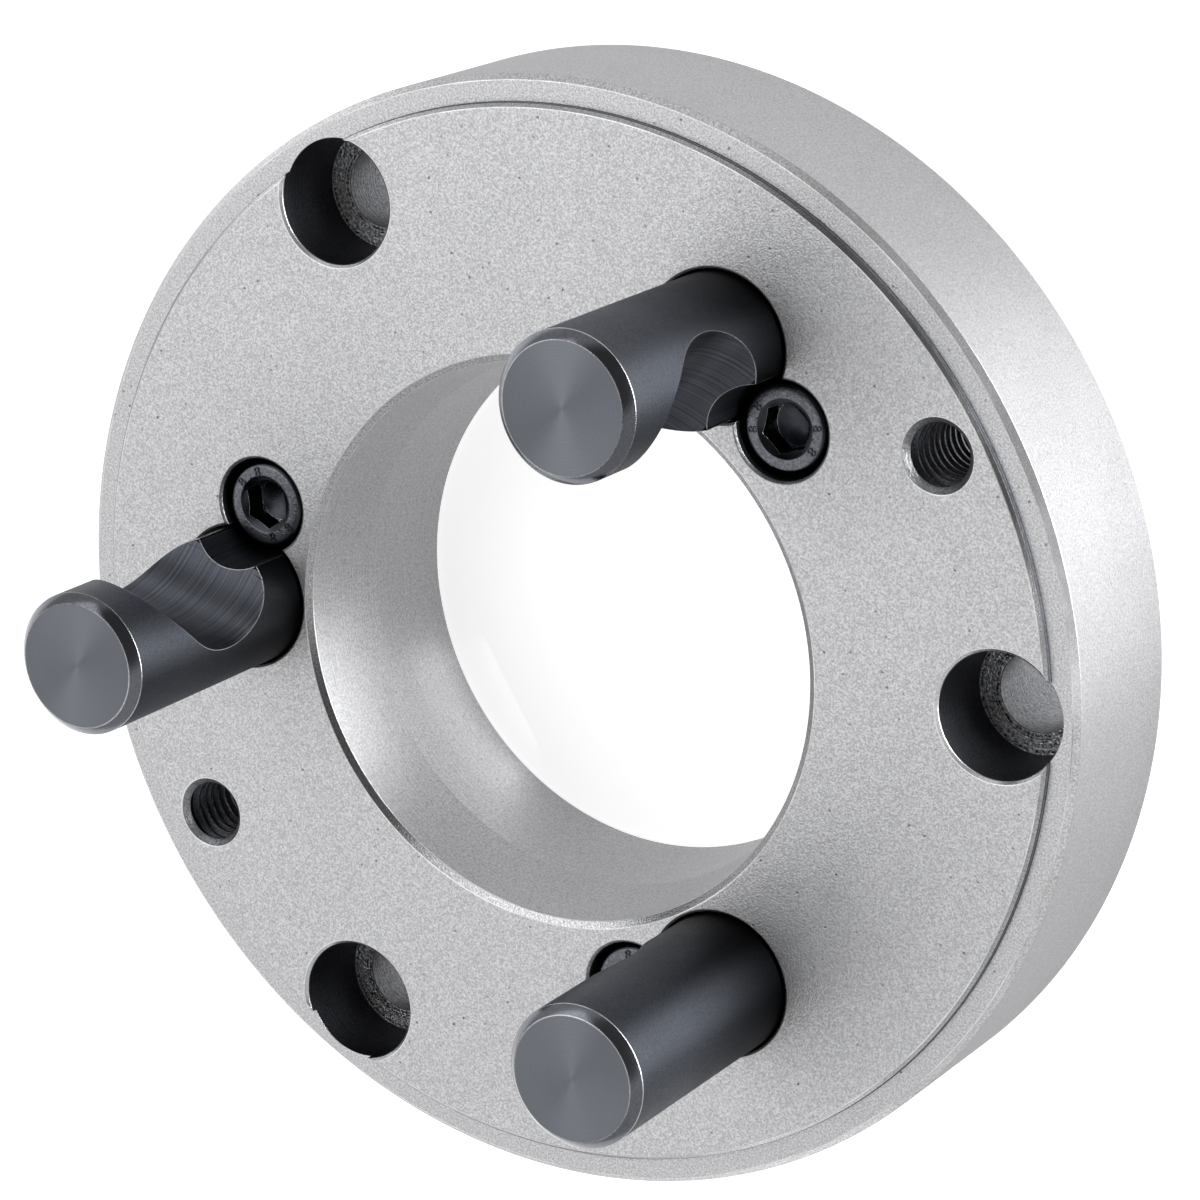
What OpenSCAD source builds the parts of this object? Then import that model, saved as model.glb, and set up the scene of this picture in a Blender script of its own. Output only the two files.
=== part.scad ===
// Adapter plate that carries a lathe chuck on a cam-lock spindle nose.
// It lies on its chuck side, with the cam studs pointing up along +Z.
// The origin is on the plate's axis, in the plane that it lies on.

/* [Plate] */
// Outside diameter of the plate
plate_d = 125.5; // [122:0.5:150]
// Thickness from the chuck's seat to the outer ring
ring_h = 21; // [20:0.5:40]
// Chamfer on the outer ring's edge
rim_chamfer = 0.7; // [0.3:0.1:1]
// Diameter of the raised face that meets the spindle
face_d = 119.4; // [118:0.1:120]
// Chamfer on the raised face's edge
face_chamfer = 0.45; // [0.4:0.05:0.7]
// Height of the raised face above the outer ring
face_step = 1; // [0.5:0.1:3]

/* [Chuck register] */
// Diameter of the register that centres the chuck
register_d = 95; // [94:0.5:98]
// Height of the register
register_h = 3; // [2:0.5:5]
// Chamfer on the register's end
register_chamfer = 0.6; // [0.2:0.1:1]

/* [Spindle seat] */
// Diameter of the spindle's taper at the raised face
nose_d = 63.5; // [62:0.1:64]
// Half angle of the taper, in degrees
taper_angle = 7.125; // [5:0.125:9]
// Depth of the taper below the raised face
taper_depth = 10; // [6:0.5:16]
// Chamfer at both ends of the bore
bore_chamfer = 0.5; // [0.2:0.1:0.7]

/* [Chuck screws] */
// Number of screws that hold the chuck
chuck_screws = 3; // [3]
// Pitch circle of the chuck's screws
chuck_pcd = 108; // [105:0.5:109]
// Diameter of the chuck screws' clearance holes
chuck_hole_d = 9; // [7:0.1:10]
// Diameter of the counterbores for the screws' heads
head_bore_d = 14; // [12:0.1:15]
// Depth of the counterbores below the raised face
head_bore_depth = 10; // [8:0.5:14]
// Edge break at each counterbore's mouth
head_bore_break = 0.35; // [0.1:0.05:0.4]

/* [Jacking holes] */
// Pitch circle of the two tapped holes
jack_pcd = 108; // [105:0.5:109]
// Major diameter of the jacking thread
jack_thread_d = 8; // [6:1:8]
// Countersink at the tapped holes' mouths
jack_chamfer = 0.15; // [0.05:0.05:0.4]
// Angle of the first tapped hole, in degrees
jack_angle = -90; // [-100:1:-80]

/* [Cam studs] */
// Number of cam studs
studs = 3; // [3]
// Pitch circle of the cam studs
stud_pcd = 82.55; // [82:0.05:86]
// Angle of the first cam stud, in degrees
stud_angle = -60; // [-62:0.5:-58]
// Diameter of a stud's body
stud_d = 16; // [15:0.1:16.5]
// Height of a stud above the raised face
stud_reach = 31; // [29:0.5:36]
// Chamfer on a stud's tip
stud_chamfer = 1; // [0.5:0.1:2]
// Depth of a stud's hole below the raised face
stud_hole_depth = 11; // [9:0.5:12]
// Clearance round a stud's body
stud_clearance = 0.3; // [0.1:0.05:0.4]
// Gap left under the body, so that the stud can be set
stud_set_gap = 0.3; // [0.1:0.05:0.8]
// Diameter of the stud's thread
stud_thread_d = 10; // [8:0.5:12]
// Length of the stud's threaded shank
stud_thread_l = 12; // [8:0.5:13]
// Chamfer on the lower end of the body and of the shank
stud_end_chamfer = 0.8; // [0.3:0.1:1.2]
// Countersink where a stud's thread comes out at the back
stud_hole_chamfer = 0.4; // [0.1:0.1:0.8]

/* [Cam cut] */
// Radius of the hollow that the spindle's cam bears in
cam_cut_r = 9.2; // [8:0.1:9.8]
// Height of the hollow's axis above the raised face
cam_cut_height = 13.7; // [12:0.1:16]
// Metal left between the stud's axis and the hollow
cam_cut_web = 0.9; // [0.5:0.1:3]
// Angle of the run-out towards the tip, from the stud's axis
cam_cut_slope = 41; // [35:1:50]

/* [Lock screws] */
// Distance of a lock screw from its stud
lock_distance = 11.4; // [11:0.1:12.5]
// Direction of a lock screw from its stud, from straight outwards
lock_turn = -106; // [-110:1:-95]
// Diameter of a lock screw's head
lock_head_d = 10; // [8.5:0.1:10.4]
// Height of a lock screw's head
lock_head_h = 6; // [5:0.1:8]
// Radius on the top edge of the head
lock_head_round = 0.7; // [0.2:0.1:1]
// Depth of the head's top below the raised face
lock_sink = 0.8; // [0.2:0.1:2]
// Clearance round a lock screw's head in the plate
lock_clearance = 0.5; // [0.2:0.1:0.8]
// Clearance between the head and the groove in the stud
groove_clearance = 1; // [0.3:0.1:1.2]
// Width across the flats of the hexagon socket
socket_af = 5; // [4:0.5:6]
// Depth of the hexagon socket
socket_depth = 3; // [2:0.1:4]
// Countersink round the hexagon socket
socket_chamfer = 0.25; // [0.1:0.05:0.4]
// Diameter of the lock screw's thread
lock_thread_d = 6; // [5:0.5:7]
// Length of the lock screw's thread
lock_thread_l = 12; // [8:1:14]
// Chamfer on the lock screw's lower end
lock_end_chamfer = 0.6; // [0.2:0.1:1]
// Depth of the tapped hole past the screw's end
lock_hole_spare = 1; // [0.5:0.1:1.2]

/* [Fits] */
// Clearance between a screw's thread and its hole
thread_clearance = 0.05; // [0.02:0.01:0.1]

/* [Hidden] */

$fn = 96;
// How far a cutting tool runs past the metal that it cuts
over = 1;
full_turn = 360;
hex_sides = 6;
// Half angle of a drill's point, in degrees
drill_point_angle = 59;

plate_steel = [0.73, 0.73, 0.74];
stud_black = [0.26, 0.28, 0.31];
screw_black = [0.13, 0.14, 0.16];

plate_r = plate_d / 2;
face_r = face_d / 2;
register_r = register_d / 2;
nose_r = nose_d / 2;
ring_z = register_h + ring_h;
face_z = ring_z + face_step;
bore_r = nose_r - taper_depth * tan(taper_angle);

head_bore_r = head_bore_d / 2;
head_seat_z = face_z - head_bore_depth;
chuck_pitch_r = chuck_pcd / 2;
chuck_hole_r = chuck_hole_d / 2;
jack_pitch_r = jack_pcd / 2;
jack_r = jack_thread_d / 2;
jack_turns = [jack_angle, jack_angle + full_turn / 2];
// The chuck's screws lie midway between the studs
chuck_angle = stud_angle + full_turn / studs / 2;

stud_r = stud_d / 2;
stud_hole_r = stud_r + stud_clearance;
stud_pitch_r = stud_pcd / 2;
stud_floor_z = face_z - stud_hole_depth;
stud_body_z = stud_floor_z + stud_set_gap;
stud_end_z = stud_body_z - stud_thread_l;
stud_tip_z = face_z + stud_reach;
stud_thread_r = stud_thread_d / 2;
stud_bore_r = stud_thread_r + thread_clearance;

cam_axis_x = cam_cut_web + cam_cut_r;
cam_axis_z = face_z + cam_cut_height;

lock_head_r = lock_head_d / 2;
lock_top_z = face_z - lock_sink;
lock_seat_z = lock_top_z - lock_head_h;
lock_pocket_r = lock_head_r + lock_clearance;
lock_thread_r = lock_thread_d / 2;
lock_bore_r = lock_thread_r + thread_clearance;
lock_end_z = lock_seat_z - lock_thread_l;
groove_r = lock_head_r + groove_clearance;
socket_r = socket_af / 2 / cos(full_turn / hex_sides / 2);
socket_floor_z = lock_top_z - socket_depth;

// Places its children on stud i's axis, with +X towards the lock screw
module at_stud(i) {
  rotate([0, 0, stud_angle + i * full_turn / studs])
    translate([stud_pitch_r, 0, 0])
      rotate([0, 0, lock_turn])
        children();
}

// Places its children on lock screw i's axis
module at_lock(i) {
  at_stud(i)
    translate([lock_distance, 0, 0])
      children();
}

// Upright cylinder between two heights
module post(r, z_low, z_high) {
  translate([0, 0, z_low])
    cylinder(r = r, h = z_high - z_low);
}

// Upright cone between two heights
module cone(r_low, r_high, z_low, z_high) {
  translate([0, 0, z_low])
    cylinder(r1 = r_low, r2 = r_high, h = z_high - z_low);
}

// Countersink that opens upwards at height z
module top_chamfer(r, size, z) {
  cone(r, r + size + over, z - size, z + over);
}

// Countersink that opens downwards at height z
module back_chamfer(r, size, z) {
  cone(r + size + over, r, z - over, z + size);
}

// Turned outline of the plate: register, chuck seat, rim, ring and raised face
module plate_blank() {
  rotate_extrude()
    polygon([
      [0, 0],
      [register_r - register_chamfer, 0],
      [register_r, register_chamfer],
      [register_r, register_h],
      [plate_r, register_h],
      [plate_r, ring_z - rim_chamfer],
      [plate_r - rim_chamfer, ring_z],
      [face_r, ring_z],
      [face_r, face_z - face_chamfer],
      [face_r - face_chamfer, face_z],
      [0, face_z]
    ]);
}

// Bore through the plate, with the short taper that seats on the spindle
module spindle_bore() {
  post(bore_r, -over, face_z);
  cone(bore_r, nose_r, face_z - taper_depth, face_z);
  back_chamfer(bore_r, bore_chamfer, 0);
  top_chamfer(nose_r, bore_chamfer, face_z);
}

// Counterbored hole for one of the chuck's screws
module chuck_screw_hole() {
  post(chuck_hole_r, -over, face_z);
  post(head_bore_r, head_seat_z, face_z + over);
  top_chamfer(head_bore_r, head_bore_break, face_z);
}

// Tapped hole for a screw that pushes the chuck off its register
module jack_hole() {
  post(jack_r, -over, face_z + over);
  top_chamfer(jack_r, jack_chamfer, face_z);
  back_chamfer(jack_r, jack_chamfer, register_h);
}

// Hole for a cam stud: a plain seat for the body above a tapped hole
module stud_hole() {
  post(stud_hole_r, stud_floor_z, face_z + over);
  post(stud_bore_r, -over, face_z);
  back_chamfer(stud_bore_r, stud_hole_chamfer, 0);
}

// Pocket for a lock screw's head above its blind tapped hole
module lock_hole() {
  floor_z = lock_end_z - lock_hole_spare;
  post(lock_pocket_r, lock_seat_z, face_z + over);
  post(lock_bore_r, floor_z, face_z);
  cone(0, lock_bore_r, floor_z - lock_bore_r / tan(drill_point_angle), floor_z);
}

module adapter_plate() {
  color(plate_steel)
    difference() {
      plate_blank();
      spindle_bore();
      for (i = [0 : chuck_screws - 1])
        rotate([0, 0, chuck_angle + i * full_turn / chuck_screws])
          translate([chuck_pitch_r, 0, 0])
            chuck_screw_hole();
      for (turn = jack_turns)
        rotate([0, 0, turn])
          translate([jack_pitch_r, 0, 0])
            jack_hole();
      for (i = [0 : studs - 1]) {
        at_stud(i) stud_hole();
        at_lock(i) lock_hole();
      }
    }
}

// Turned outline of a stud: threaded shank, body and chamfered tip
module stud_blank() {
  rotate_extrude()
    polygon([
      [0, stud_end_z],
      [stud_thread_r - stud_end_chamfer, stud_end_z],
      [stud_thread_r, stud_end_z + stud_end_chamfer],
      [stud_thread_r, stud_body_z],
      [stud_r - stud_end_chamfer, stud_body_z],
      [stud_r, stud_body_z + stud_end_chamfer],
      [stud_r, stud_tip_z - stud_chamfer],
      [stud_r - stud_chamfer, stud_tip_z],
      [0, stud_tip_z]
    ]);
}

// Side view of the cam cut: a round hollow whose wall runs out towards the tip
module cam_cut_outline() {
  run = [sin(cam_cut_slope), cos(cam_cut_slope)];
  axis_point = [cam_axis_x, cam_axis_z];
  run_start = axis_point + cam_cut_r * [-run[1], run[0]];
  out_x = stud_r + over;
  run_end = run_start + run * (out_x - run_start[0]) / run[0];
  translate(axis_point)
    circle(r = cam_cut_r);
  polygon([axis_point, run_start, run_end, [out_x, cam_axis_z]]);
}

// Cut across the stud that the spindle's cam turns into
module cam_cut() {
  rotate([90, 0, 0])
    translate([0, 0, -stud_d])
      linear_extrude(height = 2 * stud_d)
        cam_cut_outline();
}

// Groove along the stud that the lock screw's head stands in
module lock_groove() {
  translate([lock_distance, 0, 0])
    post(groove_r, stud_body_z - over, cam_axis_z);
}

module cam_stud(i) {
  color(stud_black)
    at_stud(i)
      difference() {
        stud_blank();
        cam_cut();
        lock_groove();
      }
}

// Half outline of a socket screw, with the top edge of its head rounded
module lock_screw_outline() {
  polygon([
    [0, lock_end_z],
    [lock_thread_r - lock_end_chamfer, lock_end_z],
    [lock_thread_r, lock_end_z + lock_end_chamfer],
    [lock_thread_r, lock_seat_z],
    [lock_head_r, lock_seat_z],
    [lock_head_r, lock_top_z - lock_head_round],
    [lock_head_r - lock_head_round, lock_top_z - lock_head_round],
    [lock_head_r - lock_head_round, lock_top_z],
    [0, lock_top_z]
  ]);
  translate([lock_head_r - lock_head_round, lock_top_z - lock_head_round])
    circle(r = lock_head_round);
}

// Hexagon socket with a drilled point and a small countersink
module hex_socket() {
  drill_r = socket_af / 2;
  translate([0, 0, socket_floor_z])
    cylinder(r = socket_r, h = socket_depth + over, $fn = hex_sides);
  cone(0, drill_r, socket_floor_z - drill_r / tan(drill_point_angle), socket_floor_z);
  top_chamfer(drill_r, socket_chamfer, lock_top_z);
}

module lock_screw(i) {
  color(screw_black)
    at_lock(i)
      difference() {
        rotate_extrude()
          lock_screw_outline();
        hex_socket();
      }
}

adapter_plate();
cam_stud(0);  // cam_stud_1
cam_stud(1);  // cam_stud_2
cam_stud(2);  // cam_stud_3
lock_screw(0);  // lock_screw_1
lock_screw(1);  // lock_screw_2
lock_screw(2);  // lock_screw_3
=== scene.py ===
"""Studio scene of a chuck adapter plate for a cam-lock spindle nose.

The plate lies on its chuck side. Three black cam studs stand up from its raised
face, and a socket screw beside each stud keeps it from turning. Every piece is
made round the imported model: its place comes from the model's boxes, and its
sizes are written in millimetres and turned into metres where a mesh is made.
"""

from __future__ import annotations

import logging
import math
from collections.abc import Sequence
from dataclasses import dataclass, field, replace
from enum import Enum, IntEnum

import bmesh
import bpy
from mathutils import Euler, Matrix, Vector

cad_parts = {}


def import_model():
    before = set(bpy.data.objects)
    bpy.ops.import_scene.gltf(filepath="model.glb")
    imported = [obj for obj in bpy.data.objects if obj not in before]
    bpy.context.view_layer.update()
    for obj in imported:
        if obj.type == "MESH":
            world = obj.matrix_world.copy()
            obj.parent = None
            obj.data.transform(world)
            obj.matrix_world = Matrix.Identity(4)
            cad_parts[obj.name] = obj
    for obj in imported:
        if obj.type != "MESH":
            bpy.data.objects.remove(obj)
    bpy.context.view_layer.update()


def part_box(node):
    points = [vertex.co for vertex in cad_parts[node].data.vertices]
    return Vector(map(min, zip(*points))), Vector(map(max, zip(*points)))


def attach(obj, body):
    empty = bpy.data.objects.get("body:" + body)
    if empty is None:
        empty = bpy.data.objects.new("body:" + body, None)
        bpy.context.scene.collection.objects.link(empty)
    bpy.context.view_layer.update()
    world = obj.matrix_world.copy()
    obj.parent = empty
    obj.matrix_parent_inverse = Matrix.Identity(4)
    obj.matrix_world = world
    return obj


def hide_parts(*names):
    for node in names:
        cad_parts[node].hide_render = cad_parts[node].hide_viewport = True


LOG = logging.getLogger("adapter_plate")
MM = 0.001
BODY = "root"

# A face is level where its normal's Z is above the first, and slanted down to the second.
LEVEL = 0.9
SLANTED = 0.5
# A face belongs to a surface that it lies this near to, in mm.
NEAR = 0.2
# Points nearer than WELD and edges shorter than SLIVER are closed up before edges are broken, in mm.
WELD = 0.004
SLIVER = 0.002

Outline = Sequence[tuple[float, float]]
Colour = tuple[float, float, float]


class Slot(Enum):
    """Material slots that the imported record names."""

    PLATE = "plate_steel"
    STUD = "stud_black_oxide"
    SCREW = "screw_black_oxide"


class Marks(Enum):
    """Which way a cutting tool's marks run on a surface."""

    NONE = "none"
    RINGS = "rings round the piece's axis"
    LEVELS = "rings at one height"
    ACROSS = "lines across the piece"


class Draft:
    """A mesh in the making, with its points given in mm."""

    def __init__(self) -> None:
        """Starts without a face."""
        self.made = bmesh.new()

    def point(self, x: float, y: float, z: float) -> bmesh.types.BMVert:
        """Adds a point."""
        return self.made.verts.new((x * MM, y * MM, z * MM))

    def round_point(self, radius: float, angle: float, height: float) -> bmesh.types.BMVert:
        """Adds a point from its distance and angle round the Z axis, in radians, and its height."""
        return self.point(radius * math.cos(angle), radius * math.sin(angle), height)

    def face(self, points: Sequence[bmesh.types.BMVert], slot: int = 0) -> None:
        """Adds a face with its material slot."""
        self.made.faces.new(points).material_index = slot

    def mesh(self) -> bpy.types.Mesh:
        """Finishes the mesh.

        Returns:
            The mesh, in metres, with its faces turned outwards.
        """
        bmesh.ops.recalc_face_normals(self.made, faces=self.made.faces)
        mesh = bpy.data.meshes.new("part")
        self.made.to_mesh(mesh)
        self.made.free()
        return mesh


def arc(
    centre: tuple[float, float], radius: float, start: float, end: float, steps: int
) -> list[tuple[float, float]]:
    """Points along an arc.

    Args:
        centre: the arc's centre, in mm.
        radius: its radius, in mm.
        start: the first point's angle, in degrees.
        end: the last point's angle, in degrees.
        steps: how many chords the arc has.

    Returns:
        The points, ends included.
    """
    points = []
    for step in range(steps + 1):
        angle = math.radians(start + (end - start) * step / steps)
        points.append((centre[0] + radius * math.cos(angle), centre[1] + radius * math.sin(angle)))
    return points


def turned(outline: Outline, turns: int = 128) -> bpy.types.Mesh:
    """Turns a closed outline round the Z axis.

    Args:
        outline: (radius, height) points in mm. A point at radius 0 lies on the axis.
        turns: how many steps a full turn has.

    Returns:
        The closed mesh, in metres.
    """
    draft = Draft()
    rings = []
    for radius, height in outline:
        count = 1 if radius == 0 else turns
        rings.append([draft.round_point(radius, math.tau * step / turns, height) for step in range(count)])
    for low, high in zip(rings, rings[1:] + rings[:1]):
        for step in range(turns):
            pairs = ((low, step), (low, step + 1), (high, step + 1), (high, step))
            points = list(dict.fromkeys(ring[place % len(ring)] for ring, place in pairs))
            if len(points) > 2:
                draft.face(points)
    return draft.mesh()


def prism(outline: Outline, half_width: float) -> bpy.types.Mesh:
    """Sets a side view up as a bar that runs along Y.

    Args:
        outline: (x, z) points in mm.
        half_width: how far the bar reaches each way along Y, in mm.

    Returns:
        The closed mesh, in metres.
    """
    draft = Draft()
    ends = [[draft.point(x, y, z) for x, z in outline] for y in (-half_width, half_width)]
    for end in ends:
        draft.face(end)
    for step in range(len(outline)):
        after = (step + 1) % len(outline)
        draft.face([ends[0][step], ends[0][after], ends[1][after], ends[1][step]])
    return draft.mesh()


@dataclass(frozen=True)
class Thread:
    """Inside thread: a ridge that winds up the wall of a hole."""

    wall_r: float
    crest_r: float
    pitch: float
    low: float
    high: float
    crest_slot: int
    flank_slot: int
    sunk: float = 0.04
    least_fade: float = 0.02
    fade_turns: float = 0.5
    steps: int = 48

    def mesh(self) -> bpy.types.Mesh:
        """Sweeps the ridge's section up the wall, with both ends faded into it.

        Returns:
            The closed mesh, in metres, round the Z axis.
        """
        # The ridge is 7/8 of the pitch wide at its foot and 1/4 at its crest, halved here.
        foot = self.pitch * 7 / 16
        crest = self.pitch / 8
        count = round((self.high - self.low - 2 * foot) / self.pitch * self.steps)
        draft = Draft()
        rings = []
        for step in range(count + 1):
            angle = math.tau * step / self.steps
            height = self.low + foot + self.pitch * step / self.steps
            from_end = min(step, count - step) / self.steps
            fade = min(1, self.least_fade + from_end / self.fade_turns)
            crest_r = self.wall_r - (self.wall_r - self.crest_r) * fade
            sunk_r = self.wall_r + self.sunk
            section = [(sunk_r, -foot), (crest_r, -crest * fade), (crest_r, crest * fade), (sunk_r, foot)]
            rings.append([draft.round_point(r, angle, height + z) for r, z in section])
        for low, high in zip(rings, rings[1:]):
            for side in range(4):
                after = (side + 1) % 4
                slot = self.crest_slot if side == 1 else self.flank_slot
                draft.face([low[side], low[after], high[after], high[side]], slot)
        draft.face(rings[0])
        draft.face(rings[-1])
        return draft.mesh()


def on_circle(radius: float, angle: float) -> tuple[float, float]:
    """Point on a circle round the plate's axis, from its radius in mm and its angle in degrees."""
    return radius * math.cos(math.radians(angle)), radius * math.sin(math.radians(angle))


def moved(mesh: bpy.types.Mesh, place: Matrix) -> bpy.types.Mesh:
    """Moves a mesh and hands it back."""
    mesh.transform(place)
    return mesh


def at(x: float, y: float, z: float = 0.0) -> Matrix:
    """Matrix that moves something to a place given in mm."""
    return Matrix.Translation(Vector((x, y, z)) * MM)


def new_object(name: str, data: bpy.types.ID) -> bpy.types.Object:
    """Puts a new object into the scene.

    Args:
        name: the object's name.
        data: its mesh, lamp or camera.

    Returns:
        The object.
    """
    thing = bpy.data.objects.new(name, data)
    bpy.context.scene.collection.objects.link(thing)
    return thing


def direction(azimuth: float, elevation: float) -> Vector:
    """Unit vector that points to an azimuth and elevation, given in degrees."""
    turn = Euler((0, -math.radians(elevation), math.radians(azimuth))).to_matrix()
    return turn @ Vector((1, 0, 0))


def joined(meshes: Sequence[bpy.types.Mesh]) -> bpy.types.Mesh:
    """Puts several meshes into one.

    Args:
        meshes: what to join. They are used up.

    Returns:
        One mesh that holds them all.
    """
    made = bmesh.new()
    for mesh in meshes:
        made.from_mesh(mesh)
        bpy.data.meshes.remove(mesh)
    whole = bpy.data.meshes.new("part")
    made.to_mesh(whole)
    made.free()
    return whole


def baked(holder: bpy.types.Object) -> bpy.types.Mesh:
    """Runs the modifiers of an object.

    Args:
        holder: an object with a mesh and modifiers. All are used up.

    Returns:
        The mesh that the modifiers leave.
    """
    bpy.context.view_layer.update()
    result = bpy.data.meshes.new_from_object(holder.evaluated_get(bpy.context.evaluated_depsgraph_get()))
    bpy.data.meshes.remove(holder.data)
    return result


def cut_away(blank: bpy.types.Mesh, tools: Sequence[bpy.types.Mesh]) -> bpy.types.Mesh:
    """Cuts the space of each tool out of a blank.

    Args:
        blank: closed mesh to cut. It is used up.
        tools: closed meshes to cut with. They are used up.

    Returns:
        The cut mesh.
    """
    holder = new_object("blank", blank)
    for tool in tools:
        cut = holder.modifiers.new("cut", "BOOLEAN")
        cut.operation = "DIFFERENCE"
        cut.solver = "EXACT"
        cut.object = new_object("cutter", tool)
    result = baked(holder)
    for tool in tools:
        bpy.data.meshes.remove(tool)
    return result


def edges_broken(mesh: bpy.types.Mesh, width: float, angle: float, slot: int) -> bpy.types.Mesh:
    """Rounds the sharp edges of a mesh a little, as deburring leaves them.

    Args:
        mesh: the mesh to work on. It is used up.
        width: size of the edge break, in mm.
        angle: edges sharper than this many degrees are broken.
        slot: material slot of the new faces.

    Returns:
        The mesh with its edges broken.
    """
    clean = bmesh.new()
    clean.from_mesh(mesh)
    bmesh.ops.remove_doubles(clean, verts=clean.verts, dist=WELD * MM)
    bmesh.ops.dissolve_degenerate(clean, edges=clean.edges, dist=SLIVER * MM)
    clean.to_mesh(mesh)
    clean.free()
    while len(mesh.materials) <= slot:
        mesh.materials.append(None)
    holder = new_object("holder", mesh)
    edge = holder.modifiers.new("edge break", "BEVEL")
    edge.width = width * MM
    edge.segments = 2
    edge.limit_method = "ANGLE"
    edge.angle_limit = math.radians(angle)
    edge.use_clamp_overlap = False
    edge.material = slot
    return baked(holder)


def shown(
    name: str, mesh: bpy.types.Mesh, place: Matrix, sharp: float, finishes: Sequence[MetalFinish]
) -> bpy.types.Object:
    """Makes a finished piece from its mesh.

    Args:
        name: the piece's name.
        mesh: its mesh, in its own frame.
        place: where the piece stands.
        sharp: edges sharper than this many degrees stay sharp.
        finishes: one finish for each material slot of the mesh.

    Returns:
        The piece, which rides on the plate's body.
    """
    mesh.name = name
    for index, finish in enumerate(finishes):
        if index == len(mesh.materials):
            mesh.materials.append(None)
        mesh.materials[index] = finish.material()
    mesh.shade_smooth()
    mesh.set_sharp_from_angle(angle=math.radians(sharp))
    piece = new_object(name, mesh)
    piece.matrix_world = place
    normals = piece.modifiers.new("even normals", "WEIGHTED_NORMAL")
    normals.keep_sharp = True
    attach(piece, BODY)
    return piece


def report(piece: bpy.types.Object) -> None:
    """Writes one line about a piece to the log."""
    LOG.info("%s: %d faces", piece.name, len(piece.data.polygons))


class Sheet:
    """Adds nodes to one node tree and joins them."""

    def __init__(self, tree: bpy.types.NodeTree) -> None:
        """Takes the tree to draw in."""
        self.tree = tree

    def add(self, kind: str, **settings: object) -> bpy.types.Node:
        """Adds a node.

        Args:
            kind: the node's type name without its prefix.
            settings: properties of the node to set.

        Returns:
            The node.
        """
        node = self.tree.nodes.new("ShaderNode" + kind)
        for key, value in settings.items():
            setattr(node, key, value)
        return node

    def feed(self, socket: bpy.types.NodeSocket, value: object) -> None:
        """Joins a socket to another one, or sets its value.

        Args:
            socket: the input to feed.
            value: a socket to join it to, or its value.
        """
        if isinstance(value, bpy.types.NodeSocket):
            self.tree.links.new(value, socket)
        else:
            socket.default_value = value

    def wired(self, node: bpy.types.Node, **values: object) -> bpy.types.Node:
        """Feeds a node's inputs by name.

        Args:
            node: the node to feed.
            values: sockets or values for its inputs. An underscore stands for a space.

        Returns:
            The node.
        """
        for name, value in values.items():
            self.feed(node.inputs[name.replace("_", " ")], value)
        return node

    def vector(self, operation: str, *values: object) -> bpy.types.NodeSocket:
        """Adds a Vector Math node.

        Args:
            operation: what it works out.
            values: sockets or vectors for its inputs, in order.

        Returns:
            Its result, which is a number for a length or a dot product.
        """
        node = self.add("VectorMath", operation=operation)
        for socket, value in zip(node.inputs, values):
            self.feed(socket, value)
        return node.outputs["Value" if operation in ("LENGTH", "DOT_PRODUCT") else "Vector"]

    def math(self, operation: str, *values: object) -> bpy.types.NodeSocket:
        """Adds a Math node.

        Args:
            operation: what it works out.
            values: sockets or numbers for its inputs, in order.

        Returns:
            Its result.
        """
        node = self.add("Math", operation=operation)
        for socket, value in zip(node.inputs, values):
            self.feed(socket, value)
        return node.outputs[0]

    def ramp(
        self, value: object, low: float, high: float, to_low: float, to_high: float
    ) -> bpy.types.NodeSocket:
        """Maps a value smoothly from one range to another.

        Args:
            value: socket to read.
            low: value at the start of the range.
            high: value at its end.
            to_low: result at the start.
            to_high: result at the end.

        Returns:
            The mapped value.
        """
        node = self.add("MapRange", interpolation_type="SMOOTHSTEP")
        self.wired(node, Value=value, From_Min=low, From_Max=high, To_Min=to_low, To_Max=to_high)
        return node.outputs["Result"]

    def group(self, tree: bpy.types.NodeTree, **values: object) -> bpy.types.Node:
        """Places a node group.

        Args:
            tree: the group to place.
            values: sockets or values for its inputs. An underscore stands for a space.

        Returns:
            The group's node.
        """
        return self.wired(self.add("Group", node_tree=tree), **values)


def clean_sheet(owner: bpy.types.Material | bpy.types.World) -> Sheet:
    """Clears the nodes of a material or a world.

    Args:
        owner: what the nodes belong to.

    Returns:
        A sheet to draw in.
    """
    owner.use_nodes = True
    owner.node_tree.nodes.clear()
    return Sheet(owner.node_tree)


def new_group(
    name: str, inputs: dict[str, tuple[str, object]], outputs: Sequence[str]
) -> tuple[Sheet, bpy.types.Node, bpy.types.Node]:
    """Starts a shader node group.

    Args:
        name: the group's name.
        inputs: each input's socket type and default value. A default of None stays unset.
        outputs: names of its outputs, which are all numbers.

    Returns:
        A sheet to draw in, the group's input node and its output node.
    """
    tree = bpy.data.node_groups.new(name, "ShaderNodeTree")
    for label, (kind, default) in inputs.items():
        socket = tree.interface.new_socket(name=label, in_out="INPUT", socket_type="NodeSocket" + kind)
        if default is not None:
            socket.default_value = default
    for label in outputs:
        tree.interface.new_socket(name=label, in_out="OUTPUT", socket_type="NodeSocketFloat")
    return Sheet(tree), tree.nodes.new("NodeGroupInput"), tree.nodes.new("NodeGroupOutput")


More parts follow.
